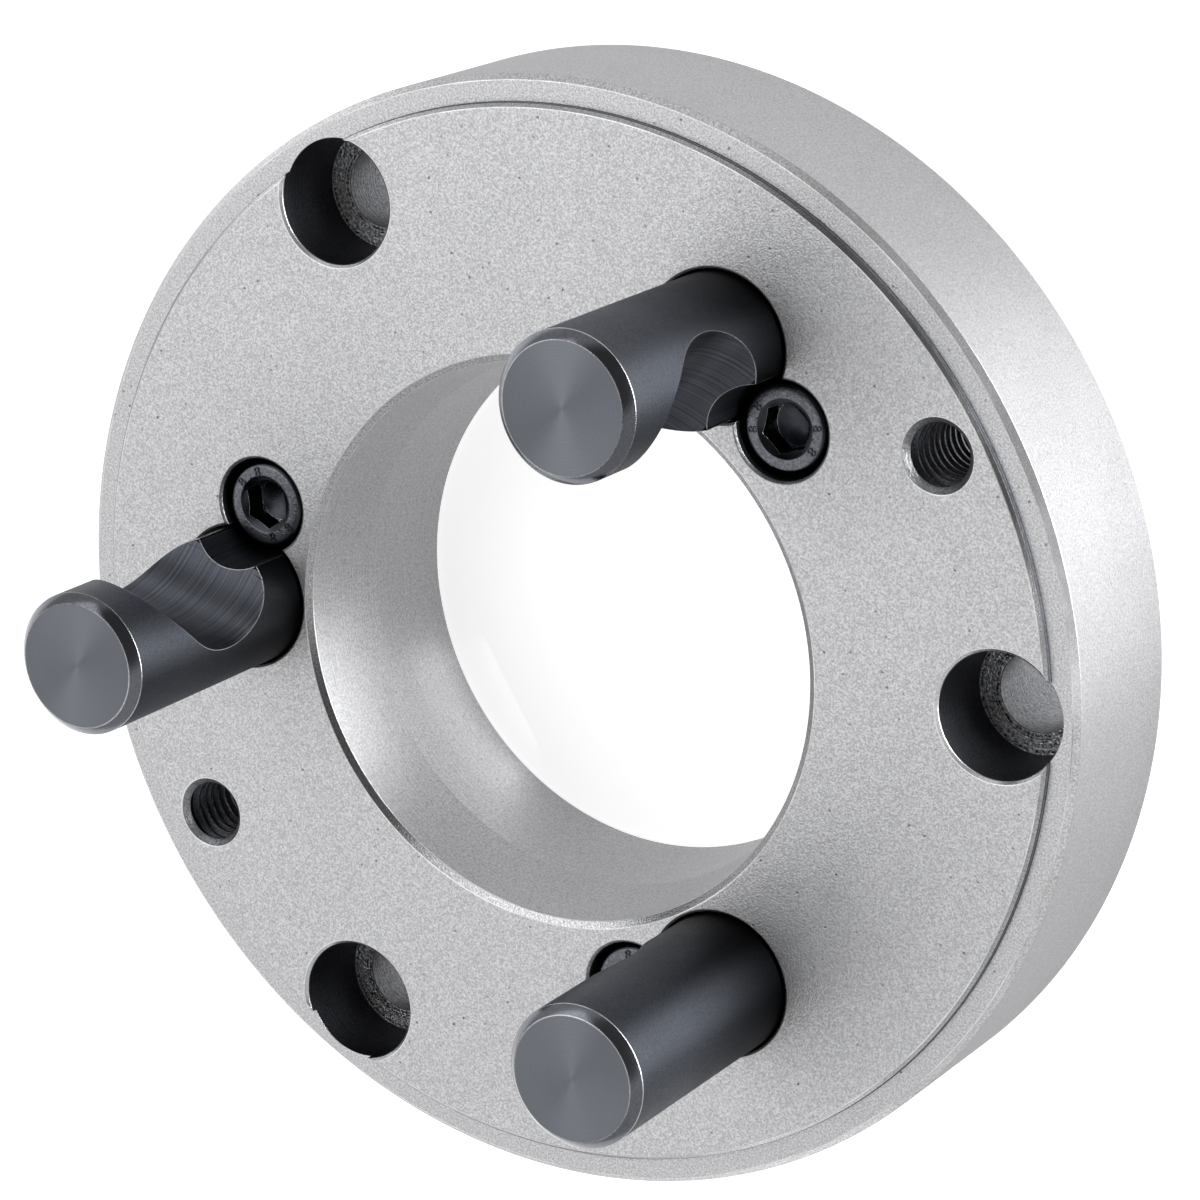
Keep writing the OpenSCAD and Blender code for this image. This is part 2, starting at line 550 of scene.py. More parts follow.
def grain_group() -> bpy.types.NodeTree:
    """Fine blasted grain with scattered pits.

    Returns:
        A group whose Shade runs from -1 to 1 and whose Pits runs from 0 to 1.
    """
    if "fine grain" in bpy.data.node_groups:
        return bpy.data.node_groups["fine grain"]
    sheet, given, out = new_group(
        "fine grain",
        {"Vector": ("Vector", None), "Grain": ("Float", 0.12 * MM), "Pit spacing": ("Float", 1.6 * MM)},
        ("Shade", "Pits"),
    )
    where = given.outputs["Vector"]
    density = sheet.math("DIVIDE", 1.0, given.outputs["Grain"])
    noise = sheet.wired(sheet.add("TexNoise"), Vector=where, Scale=density, Detail=2.0, Roughness=0.6)
    sheet.wired(out, Shade=sheet.ramp(noise.outputs["Fac"], 0.25, 0.75, -1.0, 1.0))
    spread = sheet.math("DIVIDE", 1.0, given.outputs["Pit spacing"])
    cells = sheet.wired(sheet.add("TexVoronoi"), Vector=where, Scale=spread)
    spot = sheet.ramp(cells.outputs["Distance"], 0.04, 0.14, 1.0, 0.0)
    lot = sheet.wired(sheet.add("SeparateColor"), Color=cells.outputs["Color"])
    chosen = sheet.ramp(lot.outputs["Red"], 0.45, 0.75, 0.0, 1.0)
    sheet.wired(out, Pits=sheet.math("MULTIPLY", spot, chosen))
    return sheet.tree


def tool_marks_group() -> bpy.types.NodeTree:
    """Marks that a cutting tool leaves side by side.

    Returns:
        A group whose Shade runs from -1 to 1 along the direction of feed.
    """
    if "tool marks" in bpy.data.node_groups:
        return bpy.data.node_groups["tool marks"]
    sheet, given, out = new_group(
        "tool marks",
        {"Vector": ("Vector", None), "Along": ("Float", 0.0), "Pitch": ("Float", 0.1 * MM)},
        ("Shade",),
    )
    wander = sheet.wired(sheet.add("TexNoise"), Vector=given.outputs["Vector"], Scale=0.3 / MM)
    shift = sheet.math("MULTIPLY", wander.outputs["Fac"], 0.5)
    place = sheet.math("DIVIDE", given.outputs["Along"], given.outputs["Pitch"])
    lines = sheet.add("TexNoise", noise_dimensions="1D")
    sheet.wired(lines, W=sheet.math("ADD", place, shift), Scale=1.0, Detail=3.0)
    sheet.wired(out, Shade=sheet.ramp(lines.outputs["Fac"], 0.3, 0.7, -1.0, 1.0))
    return sheet.tree


def handling_group() -> bpy.types.NodeTree:
    """Broad cloudy unevenness that handling and oil leave.

    Returns:
        A group whose Shade runs from -1 to 1.
    """
    if "handling" in bpy.data.node_groups:
        return bpy.data.node_groups["handling"]
    sheet, given, out = new_group(
        "handling",
        {"Vector": ("Vector", None), "Size": ("Float", 12 * MM)},
        ("Shade",),
    )
    density = sheet.math("DIVIDE", 1.0, given.outputs["Size"])
    cloud = sheet.wired(sheet.add("TexNoise"), Vector=given.outputs["Vector"], Scale=density, Detail=4.0)
    sheet.wired(out, Shade=sheet.ramp(cloud.outputs["Fac"], 0.3, 0.7, -1.0, 1.0))
    return sheet.tree


@dataclass(frozen=True)
class MetalFinish:
    """Bare or blackened metal with grain, pits, tool marks, handling marks and, where set, painted shade
    towards its foot. Lengths are in mm.
    """

    name: str
    colour: Colour
    roughness: float
    metallic: float = 1.0
    grain: float = 0.12
    grain_shade: float = 0.1
    grain_bump: float = 0.004
    pits: float = 0.0
    marks: Marks = Marks.NONE
    mark_pitch: float = 0.1
    mark_shade: float = 0.05
    mark_bump: float = 0.002
    handling: float = 0.04
    roughness_spread: float = 0.05
    anisotropy: float = 0.0
    coat: float = 0.0
    coat_roughness: float = 0.2
    pit_depth: float = 4.0
    darkest: float = 0.05
    hubs: tuple[tuple[float, float], ...] = ()
    grazing: float = 1.0
    # Painted shade: the colour darkens from foot + foot_reach down to foot, where it is scaled by the last of
    # these three.
    foot: float = 0.0
    foot_reach: float = 14.0
    foot_painted_shade: float = 1.0

    def material(self) -> bpy.types.Material:
        """Builds the material, or finds it where it has been built.

        Returns:
            The node material.
        """
        if self.name in bpy.data.materials:
            return bpy.data.materials[self.name]
        material = bpy.data.materials.new(self.name)
        sheet = clean_sheet(material)
        shader = sheet.add("BsdfPrincipled")
        sheet.wired(sheet.add("OutputMaterial"), Surface=shader.outputs["BSDF"])
        sheet.wired(shader, Metallic=self.metallic, Coat_Weight=self.coat, Coat_Roughness=self.coat_roughness)
        sheet.wired(shader, Specular_Tint=(self.grazing, self.grazing, self.grazing, 1.0))
        sheet.wired(shader, Anisotropic=self.anisotropy, Anisotropic_Rotation=0.25)
        where = sheet.add("TexCoord").outputs["Object"]
        hub = self.from_hub(sheet, where)
        grain = sheet.group(grain_group(), Vector=where, Grain=self.grain * MM)
        cloud = sheet.group(handling_group(), Vector=where)
        shade = sheet.math("MULTIPLY", grain.outputs["Shade"], self.grain_shade)
        shade = sheet.math("MULTIPLY_ADD", cloud.outputs["Shade"], self.handling, shade)
        height = sheet.math("MULTIPLY", grain.outputs["Shade"], self.grain_bump)
        if self.pits:
            shade = sheet.math("MULTIPLY_ADD", grain.outputs["Pits"], -self.pits, shade)
            sunk = -self.pit_depth * self.grain_bump
            height = sheet.math("MULTIPLY_ADD", grain.outputs["Pits"], sunk, height)
        if self.marks is not Marks.NONE:
            along = self.feed_direction(sheet, hub)
            marks = sheet.group(tool_marks_group(), Vector=where, Along=along, Pitch=self.mark_pitch * MM)
            shade = sheet.math("MULTIPLY_ADD", marks.outputs["Shade"], self.mark_shade, shade)
            height = sheet.math("MULTIPLY_ADD", marks.outputs["Shade"], self.mark_bump, height)
        level = sheet.math("MAXIMUM", sheet.math("ADD", shade, 1.0), self.darkest)
        # Painted shade: darker towards the piece's foot.
        if self.foot_painted_shade < 1:
            level = sheet.math("MULTIPLY", level, self.painted_shade_at_foot(sheet, where))
        tint = sheet.wired(sheet.add("VectorMath", operation="SCALE"), Vector=self.colour, Scale=level)
        rough = sheet.math("MULTIPLY_ADD", grain.outputs["Shade"], -self.roughness_spread, self.roughness)
        rough = sheet.math("MULTIPLY_ADD", cloud.outputs["Shade"], self.roughness_spread, rough)
        bump = sheet.wired(sheet.add("Bump"), Distance=MM, Height=height).outputs["Normal"]
        sheet.wired(shader, Base_Color=tint.outputs["Vector"], Roughness=rough, Normal=bump)
        if self.anisotropy:
            sheet.wired(shader, Tangent=self.turning_direction(sheet, hub))
        return material

    def turning_direction(self, sheet: Sheet, hub: bpy.types.NodeSocket) -> bpy.types.NodeSocket:
        """Direction in which the tool went round.

        Args:
            sheet: the sheet of the material.
            hub: place as seen from the tool's axis.

        Returns:
            The tangent, round the piece's own axis or the nearest hub.
        """
        if not self.hubs:
            return sheet.add("Tangent", direction_type="RADIAL", axis="Z").outputs["Tangent"]
        return sheet.vector("NORMALIZE", sheet.vector("CROSS_PRODUCT", (0.0, 0.0, 1.0), hub))

    def from_hub(self, sheet: Sheet, where: bpy.types.NodeSocket) -> bpy.types.NodeSocket:
        """Place as seen from the axis that the tool went round.

        Args:
            sheet: the sheet of the material.
            where: place on the piece.

        Returns:
            The place, measured from the nearest hub where the finish has hubs.
        """
        nearest, least = where, None
        for x, y in self.hubs:
            offset = sheet.vector("SUBTRACT", where, (x * MM, y * MM, 0.0))
            flat = sheet.vector("MULTIPLY", offset, (1.0, 1.0, 0.0))
            length = sheet.vector("LENGTH", flat)
            if least is None:
                nearest, least = flat, length
                continue
            choice = sheet.add("Mix", data_type="VECTOR")
            sheet.feed(choice.inputs[0], sheet.math("LESS_THAN", length, least))
            sheet.feed(choice.inputs[4], nearest)
            sheet.feed(choice.inputs[5], flat)
            nearest = choice.outputs[1]
            least = sheet.math("MINIMUM", length, least)
        return nearest

    def painted_shade_at_foot(self, sheet: Sheet, where: bpy.types.NodeSocket) -> bpy.types.NodeSocket:
        """Painted shade that darkens the colour towards the foot of a piece.

        Args:
            sheet: the sheet of the material.
            where: place on the piece.

        Returns:
            A factor for the colour, 1 above the darkened stretch.
        """
        height = sheet.wired(sheet.add("SeparateXYZ"), Vector=where).outputs["Z"]
        top = self.foot + self.foot_reach
        return sheet.ramp(height, self.foot * MM, top * MM, self.foot_painted_shade, 1.0)

    def feed_direction(self, sheet: Sheet, hub: bpy.types.NodeSocket) -> bpy.types.NodeSocket:
        """Distance along which the tool moved on between its marks.

        Args:
            sheet: the sheet of the material.
            hub: place as seen from the tool's axis.

        Returns:
            The distance, in metres.
        """
        x, y, z = sheet.wired(sheet.add("SeparateXYZ"), Vector=hub).outputs
        if self.marks is Marks.LEVELS:
            return z
        if self.marks is Marks.ACROSS:
            return y
        return sheet.math("SQRT", sheet.math("MULTIPLY_ADD", y, y, sheet.math("MULTIPLY", x, x)))


FACED_STEEL = MetalFinish(
    "faced_steel", (0.59, 0.59, 0.602), 0.52, grain=0.22, grain_shade=0.25, grain_bump=0.012, pits=0.5,
)
TURNED_STEEL = MetalFinish(
    "turned_steel", (0.44, 0.44, 0.45), 0.45, grain=0.22, grain_shade=0.22, grain_bump=0.006, pits=0.15,
    marks=Marks.LEVELS, mark_pitch=0.16, mark_shade=0.06, anisotropy=0.75, grazing=0.5,
    handling=0.015, roughness_spread=0.01,
)
NOSE_STEEL = MetalFinish(
    "nose_steel", (0.43, 0.43, 0.44), 0.52, grain=0.24, grain_shade=0.2, grain_bump=0.006, pits=0.25,
    marks=Marks.LEVELS, mark_pitch=0.2, mark_shade=0.07, anisotropy=0.75, roughness_spread=0.02,
)
# Painted shade: the near-black colour stands in for the shade in holes, on thread flanks and in inner
# corners; the tool marks are the bored finish.
SHADE_PAINTED_STEEL = MetalFinish(
    "bored_steel_painted_shade", (0.075, 0.078, 0.09), 0.4, grain=0.2, grain_shade=0.35, grain_bump=0.006,
    marks=Marks.LEVELS, mark_pitch=0.22, mark_shade=0.3, mark_bump=0.008,
)
STEP_STEEL = MetalFinish(
    "step_steel", (0.5, 0.502, 0.51), 0.15, grain=0.2, grain_shade=0.3, grain_bump=0.003,
)
RIM_STEEL = MetalFinish(
    "rim_steel", (0.62, 0.62, 0.63), 0.18, metallic=0.8, grain=0.26, grain_shade=0.24, grain_bump=0.002,
    pits=0.2, grazing=0.5,
)
SEAT_STEEL = MetalFinish(
    "counterbore_floor", (0.54, 0.54, 0.55), 0.32, grain=0.34, grain_shade=0.8, grain_bump=0.06, pits=0.4,
    marks=Marks.RINGS, mark_pitch=0.3, mark_shade=0.5, mark_bump=0.02, anisotropy=0.9,
)
DRILLED_STEEL = MetalFinish(
    "drilled_steel", (0.26, 0.263, 0.276), 0.42, grain=0.3, grain_shade=0.35, grain_bump=0.01,
    marks=Marks.LEVELS, mark_pitch=0.3, mark_shade=0.15, mark_bump=0.006,
)
# Lighter edges: partly steel rubbed bright, partly painted highlight along the plate's edges.
STEEL_EDGE = MetalFinish("steel_edge", (0.72, 0.72, 0.73), 0.4, grain_shade=0.3, handling=0.3)
# The bodies' colour darkens towards the plate's face as painted shade.
BLACK_BODY = MetalFinish(
    "black_oxide_body", (0.062, 0.067, 0.079), 0.5, grain=0.14, grain_shade=0.3, grain_bump=0.005,
    marks=Marks.LEVELS, mark_pitch=0.12, mark_shade=0.08, mark_bump=0.001, anisotropy=0.85,
    foot=25.0, foot_reach=24.0, foot_painted_shade=0.06,
)
BLACK_BEVEL = MetalFinish(
    "black_oxide_bevel", (0.17, 0.178, 0.2), 0.14, grain=0.2, grain_shade=0.15, grain_bump=0.002,
    handling=0.15,
)
# Painted light: the end faces are lighter than the bodies, standing in for the brighter light on the studs'
# tops.
BLACK_END = MetalFinish(
    "black_oxide_end", (0.16, 0.17, 0.19), 0.4, grain=0.1, grain_shade=0.05, grain_bump=0.0006,
    marks=Marks.RINGS, mark_pitch=0.09, mark_shade=0.06, mark_bump=0.001, anisotropy=0.85,
)
BLACK_CUT = MetalFinish(
    "black_oxide_cut", (0.074, 0.079, 0.093), 0.34, grain=0.1, grain_shade=0.1, grain_bump=0.001,
    marks=Marks.ACROSS, mark_pitch=0.32, mark_shade=0.28, mark_bump=0.003, handling=0.15,
)
# Lighter edges: partly worn black oxide, partly painted highlight along the studs' edges.
BLACK_EDGE = MetalFinish("black_oxide_edge", (0.32, 0.32, 0.34), 0.22, grain_shade=0.35, handling=0.6)
SCREW_BODY = MetalFinish(
    "oiled_black_screw", (0.03, 0.034, 0.042), 0.22, grain=0.15, grain_shade=0.25, grain_bump=0.004, coat=0.3,
)
SCREW_TOP = MetalFinish(
    "oiled_black_head", (0.12, 0.125, 0.141), 0.3, grain=0.3, grain_shade=0.3, grain_bump=0.01, coat=0.2,
)
SCREW_RUB = MetalFinish(
    "rubbed_screw_edge", (0.2, 0.204, 0.22), 0.26, grain=0.3, grain_shade=0.8, handling=0.5,
)


def centre_of(node: str) -> Vector:
    """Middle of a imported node's box, in mm."""
    low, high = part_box(node)
    return (low + high) / 2 / MM


def ends_of(node: str) -> tuple[float, float]:
    """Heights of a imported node's lower and upper end, in mm."""
    low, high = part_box(node)
    return low.z / MM, high.z / MM


class PlateSlot(IntEnum):
    """Which finish a face of the plate has, by how it was made. Hole walls, thread flanks and inner corners
    share a near-black slot that is painted shade.
    """

    FACED = 0
    EDGE = 1
    TURNED = 2
    # Painted shade: near-black hole walls, thread flanks and inner corners.
    PAINTED_SHADE = 3
    STEP = 4
    SEAT = 5
    DRILLED = 6
    RIM = 7
    NOSE = 8


@dataclass
class AdapterPlate:
    """The plate: a turned blank with a tapered seat, drilled and tapped."""

    plate_r: float = 62.75
    register_r: float = 47.5
    register_h: float = 3.0
    register_chamfer: float = 0.6
    face_r: float = 59.7
    face_step: float = 1.0
    face_chamfer: float = 0.45
    rim_chamfer: float = 0.7
    nose_r: float = 31.75
    taper_depth: float = 10.0
    taper_angle: float = 7.125
    bore_chamfer: float = 0.5
    nose_break: float = 0.8
    screw_pitch_r: float = 54.0
    screw_hole_r: float = 4.5
    head_bore_r: float = 7.0
    head_bore_depth: float = 10.0
    head_bore_break: float = 0.35
    jack_r: float = 4.0
    jack_crest_r: float = 3.45
    jack_pitch: float = 1.25
    jack_chamfer: float = 0.15
    jack_land: float = 0.1
    stud_hole_r: float = 8.3
    stud_hole_depth: float = 11.0
    stud_thread_r: float = 5.05
    stud_crest_r: float = 4.4
    stud_pitch: float = 1.5
    stud_thread_start: float = 0.1
    lock_pocket_r: float = 5.5
    lock_pocket_depth: float = 6.8
    lock_thread_r: float = 3.05
    lock_hole_floor: float = 5.2
    mouth_break: float = 0.25
    edge_break: float = 0.07
    edge_angle: float = 30.0
    sharp_angle: float = 6.0
    over: float = 1.0
    node: str = "adapter_plate"
    top: float = field(init=False)
    seat: float = field(init=False)
    bore_r: float = field(init=False)
    screw_centres: tuple[tuple[float, float], ...] = field(init=False)
    jack_centres: tuple[tuple[float, float], ...] = field(init=False)
    stud_centres: tuple[Vector, ...] = field(init=False)
    lock_centres: tuple[Vector, ...] = field(init=False)

    def __post_init__(self) -> None:
        """Works out the sizes and places that follow from the others."""
        self.top = ends_of(self.node)[1]
        self.seat = self.top - self.head_bore_depth
        self.bore_r = self.nose_r - self.taper_depth * math.tan(math.radians(self.taper_angle))
        self.screw_centres = tuple(on_circle(self.screw_pitch_r, angle) for angle in (0, 120, 240))
        self.jack_centres = tuple(on_circle(self.screw_pitch_r, angle) for angle in (-90, 90))
        self.stud_centres = tuple(centre_of(f"cam_stud_{number}").to_2d() for number in (1, 2, 3))
        self.lock_centres = tuple(centre_of(f"lock_screw_{number}").to_2d() for number in (1, 2, 3))

    def blank(self) -> bpy.types.Mesh:
        """Turns the plate's outline, bore and taper included."""
        ring = self.top - self.face_step
        return turned([
            (self.bore_r + self.bore_chamfer, 0),
            (self.register_r - self.register_chamfer, 0),
            (self.register_r, self.register_chamfer),
            (self.register_r, self.register_h),
            (self.plate_r, self.register_h),
            (self.plate_r, ring - self.rim_chamfer),
            (self.plate_r - self.rim_chamfer, ring),
            (self.face_r, ring),
            (self.face_r, self.top - self.face_chamfer),
            (self.face_r - self.face_chamfer, self.top),
            (self.nose_r + self.nose_break, self.top),
            (self.nose_r, self.top - self.bore_chamfer),
            (self.bore_r, self.top - self.taper_depth),
            (self.bore_r, self.bore_chamfer),
        ], turns=288)

    def hole(
        self, centre: Sequence[float], radius: float, floor: float, mouth_break: float = 0.0
    ) -> bpy.types.Mesh:
        """Tool for a round hole that opens upwards.

        Args:
            centre: x and y of the hole's axis, in mm.
            radius: the hole's radius, in mm.
            floor: height of its floor, in mm.
            mouth_break: countersink at its mouth, in mm.

        Returns:
            The tool, in its place.
        """
        end = self.top + self.over
        outline = [(0, end), (0, floor), (radius, floor)]
        if mouth_break:
            outline += [(radius, self.top - mouth_break), (radius + mouth_break + self.over, end)]
        else:
            outline.append((radius, end))
        return moved(turned(outline, turns=96), at(*centre))

    def tools(self) -> list[bpy.types.Mesh]:
        """Makes the tools for all holes.

        Returns:
            Each hole's tool, in its place.
        """
        tools = []
        for centre in self.screw_centres:
            tools.append(self.hole(centre, self.screw_hole_r, -self.over))
            tools.append(self.hole(centre, self.head_bore_r, self.seat, self.head_bore_break))
        for centre in self.jack_centres:
            tools.append(self.hole(centre, self.jack_r, -self.over, self.jack_chamfer))
        for stud, lock in zip(self.stud_centres, self.lock_centres):
            tools.append(self.hole(stud, self.stud_hole_r, self.top - self.stud_hole_depth, self.mouth_break))
            tools.append(self.hole(stud, self.stud_thread_r, -self.over))
            lock_floor = self.top - self.lock_pocket_depth
            tools.append(self.hole(lock, self.lock_pocket_r, lock_floor, self.mouth_break))
            tools.append(self.hole(lock, self.lock_thread_r, self.lock_hole_floor))
        return tools

    def jack_mouth(self) -> bpy.types.Mesh:
        """Countersunk first crest at the mouth of a jacking hole.

        Returns:
            The ring, round the Z axis.
        """
        sunk = self.jack_r + self.jack_chamfer / 2
        height = self.jack_r - self.jack_crest_r
        start = self.top - self.jack_chamfer
        ring = turned([
            (sunk, start + self.jack_chamfer / 2),
            (self.jack_crest_r, start - height),
            (self.jack_crest_r, start - height - self.jack_land),
            (sunk, start - 2 * height - self.jack_land),
        ], turns=96)
        # The lower flank of the mouth's crest gets the near-black painted shade.
        for face in ring.polygons:
            face.material_index = PlateSlot.DRILLED if face.normal.z > SLANTED else PlateSlot.PAINTED_SHADE
        return ring

    def threads(self) -> list[bpy.types.Mesh]:
        """Threads of the jacking holes, and of the studs' holes where they show at the back.

        Returns:
            The meshes, in their places.
        """
        # Thread flanks get the near-black painted shade; crests keep the drilled tone.
        slots = (PlateSlot.DRILLED, PlateSlot.PAINTED_SHADE)
        end = self.top - self.jack_pitch
        jack = Thread(self.jack_r, self.jack_crest_r, self.jack_pitch, self.register_h, end, *slots)
        start, end = self.stud_thread_start, ends_of("cam_stud_1")[0]
        stud = Thread(self.stud_thread_r, self.stud_crest_r, self.stud_pitch, start, end, *slots)
        meshes = []
        for centre in self.jack_centres:
            meshes += [moved(jack.mesh(), at(*centre)), moved(self.jack_mouth(), at(*centre))]
        for centre in self.stud_centres:
            meshes.append(moved(stud.mesh(), at(*centre)))
        return meshes

    def edge_slot(self, place: Vector, radius: float, from_screw: float) -> PlateSlot:
        """Which finish a broken edge has.

        Args:
            place: middle of a face of the edge, in mm.
            radius: its distance from the plate's axis, in mm.
            from_screw: its distance from the nearest counterbored hole's axis, in mm.

        Returns:
            The slot of its finish.
        """
        # Inner corners at the foot of the face's step and inside the counterbores get the near-black painted
        # shade.
        if abs(radius - self.face_r) < 2 * self.edge_break and place.z < self.top - self.face_chamfer / 2:
            return PlateSlot.PAINTED_SHADE
        inside = from_screw < self.head_bore_r + self.edge_break
        if inside and self.seat - self.over < place.z < self.top - self.over - self.face_step:
            return PlateSlot.PAINTED_SHADE
        return PlateSlot.TURNED if radius > self.plate_r - 2 * self.edge_break else PlateSlot.EDGE

    def slot_of(self, face: bpy.types.MeshPolygon) -> PlateSlot:
        """Which tool made a face of the plate.

        Args:
            face: a face of the plate's mesh.

        Returns:
            The slot of its finish.
        """
        place = face.center / MM
        radius = place.to_2d().length
        from_screw = min(math.dist(place.to_2d(), centre) for centre in self.screw_centres)
        from_lock = min(math.dist(place.to_2d(), centre) for centre in self.lock_centres)
        if face.material_index == PlateSlot.EDGE:
            if from_lock < self.lock_pocket_r + self.mouth_break + 2 * self.edge_break:
                return PlateSlot.DRILLED
            return self.edge_slot(place, radius, from_screw)
        level = abs(face.normal.z) > LEVEL
        slanted = abs(face.normal.z) > SLANTED and not level
        if from_screw < self.screw_hole_r + NEAR and not level:
            return PlateSlot.DRILLED
        in_bore = from_screw < self.head_bore_r + self.head_bore_break
        # Counterbore walls get the near-black painted shade.
        if in_bore and self.seat - self.over < place.z < self.top - self.over:
            return PlateSlot.SEAT if level else PlateSlot.PAINTED_SHADE
        if level and (place.z > self.top - self.face_step - NEAR or place.z < self.register_h + NEAR):
            return PlateSlot.FACED
        if slanted and from_lock < self.lock_pocket_r + self.mouth_break:
            return PlateSlot.DRILLED
        if abs(radius - self.face_r) < self.face_chamfer and place.z > self.top - self.face_step:
            return PlateSlot.STEP if slanted else PlateSlot.DRILLED
        if slanted and (radius > self.face_r or place.z > self.top - self.face_step):
            return PlateSlot.STEP if radius < self.nose_r + self.over else PlateSlot.RIM
        if radius < self.nose_r + self.over:
            return PlateSlot.NOSE
        if radius > self.plate_r - NEAR or abs(radius - self.register_r) < self.over:
            return PlateSlot.TURNED
        # Walls of the other holes get the near-black painted shade.
        return PlateSlot.PAINTED_SHADE

    def build(self) -> bpy.types.Object:
        """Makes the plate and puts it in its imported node's place.

        Returns:
            The finished piece.
        """
        mesh = cut_away(self.blank(), self.tools())
        mesh = edges_broken(mesh, self.edge_break, self.edge_angle, PlateSlot.EDGE)
        for face in mesh.polygons:
            face.material_index = self.slot_of(face)
        mesh = joined([mesh, *self.threads()])
        seat = replace(SEAT_STEEL, hubs=self.screw_centres)
        finishes = (
            FACED_STEEL, STEEL_EDGE, TURNED_STEEL, SHADE_PAINTED_STEEL, STEP_STEEL, seat, DRILLED_STEEL,
            RIM_STEEL, NOSE_STEEL,
        )
        piece = shown("plate", mesh, Matrix(), self.sharp_angle, finishes)
        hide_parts(self.node)
        return piece


class StudSlot(IntEnum):
    """Which finish a face of a stud has."""

    BODY = 0
    EDGE = 1
    END = 2
    CUT = 3
    BEVEL = 4


@dataclass
class CamStud:
    """A stud that the spindle's cam pulls in, with its cam cut and lock groove."""

    number: int
    body_r: float = 8.0
    tip_chamfer: float = 1.0
    end_chamfer: float = 0.8
    thread_r: float = 5.0
    thread_length: float = 12.0
    cut_r: float = 9.2
    cut_height: float = 13.7
    cut_web: float = 0.9
    cut_slope: float = 41.0
    groove_r: float = 6.0
    wall_reach: float = 0.25
    edge_break: float = 0.075
    edge_angle: float = 35.0
    sharp_angle: float = 28.0
    reach: float = 31.0
    over: float = 1.0

    @property
    def node(self) -> str:
        """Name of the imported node."""
        return f"cam_stud_{self.number}"

    def place(self) -> tuple[Matrix, float]:
        """Where the stud stands.

        Returns:
            Its frame, with +X towards its lock screw, and the distance between them in mm.
        """
        stud = centre_of(self.node)
        lock = centre_of(f"lock_screw_{self.number}")
        towards = (lock - stud).to_2d()
        turn = Matrix.Rotation(math.atan2(towards.y, towards.x), 4, "Z")
        return at(stud.x, stud.y) @ turn, towards.length

    def blank(self, low: float, high: float) -> bpy.types.Mesh:
        """Turns the stud's outline between its ends.

        Args:
            low: height of the shank's end, in mm.
            high: height of the tip, in mm.

        Returns:
            The blank, round the Z axis.
        """
        shoulder = low + self.thread_length
        return turned([
            (0, low),
            (self.thread_r - self.end_chamfer, low),
            (self.thread_r, low + self.end_chamfer),
            (self.thread_r, shoulder),
            (self.body_r - self.end_chamfer, shoulder),
            (self.body_r, shoulder + self.end_chamfer),
            (self.body_r, high - self.tip_chamfer),
            (self.body_r - self.tip_chamfer, high),
            (0, high),
        ], turns=160)

    def cut_outline(self, face: float) -> Outline:
        """Side view of the cam cut.

        Args:
            face: height of the plate's raised face, in mm.

        Returns:
            (x, z) points in mm: the hollow, and the line on which it runs out.
        """
        axis = (self.cut_web + self.cut_r, face + self.cut_height)
        hollow = arc(axis, self.cut_r, 180 - self.cut_slope, 360, 96)
        start = hollow[0]
        out = self.body_r + 2 * self.over
        rise = (out - start[0]) / math.tan(math.radians(self.cut_slope))
        return [*hollow, (axis[0] + self.cut_r, start[1] + rise), (out, start[1] + rise)]

    def mark_surfaces(self, mesh: bpy.types.Mesh, high: float) -> None:
        """Gives each face the slot of its finish.

        Args:
            mesh: the stud's mesh, with body and edge told apart.
            high: height of the tip, in mm.
        """
        for face in mesh.polygons:
            if face.material_index == StudSlot.EDGE:
                continue
            height = face.center.z / MM
            off_wall = abs(face.center.to_2d().length / MM - self.body_r)
            if SLANTED < face.normal.z < LEVEL and height > high - self.tip_chamfer:
                face.material_index = StudSlot.BEVEL
            elif face.normal.z > LEVEL and height > high - NEAR:
                face.material_index = StudSlot.END
            elif off_wall > self.wall_reach and height < high - self.tip_chamfer:
                face.material_index = StudSlot.CUT

    def build(self) -> bpy.types.Object:
        """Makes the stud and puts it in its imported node's place.

        Returns:
            The finished piece.
        """
        low, high = ends_of(self.node)
        face = high - self.reach
        place, lock_distance = self.place()
        cam_axis_z = face + self.cut_height
        foot = low + self.thread_length - self.over
        groove = turned([
            (0, foot), (self.groove_r, foot), (self.groove_r, cam_axis_z), (0, cam_axis_z),
        ], turns=128)
        tools = [prism(self.cut_outline(face), self.body_r * 2), moved(groove, at(lock_distance, 0))]
        mesh = cut_away(self.blank(low, high), tools)
        mesh = edges_broken(mesh, self.edge_break, self.edge_angle, StudSlot.EDGE)
        self.mark_surfaces(mesh, high)
        finishes = (BLACK_BODY, BLACK_EDGE, BLACK_END, BLACK_CUT, BLACK_BEVEL)
        piece = shown(f"stud_{self.number}", mesh, place, self.sharp_angle, finishes)
        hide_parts(self.node)
        return piece


class ScrewSlot(IntEnum):
    """Which finish a face of a lock screw has."""

    BODY = 0
    TOP = 1
    RUBBED = 2


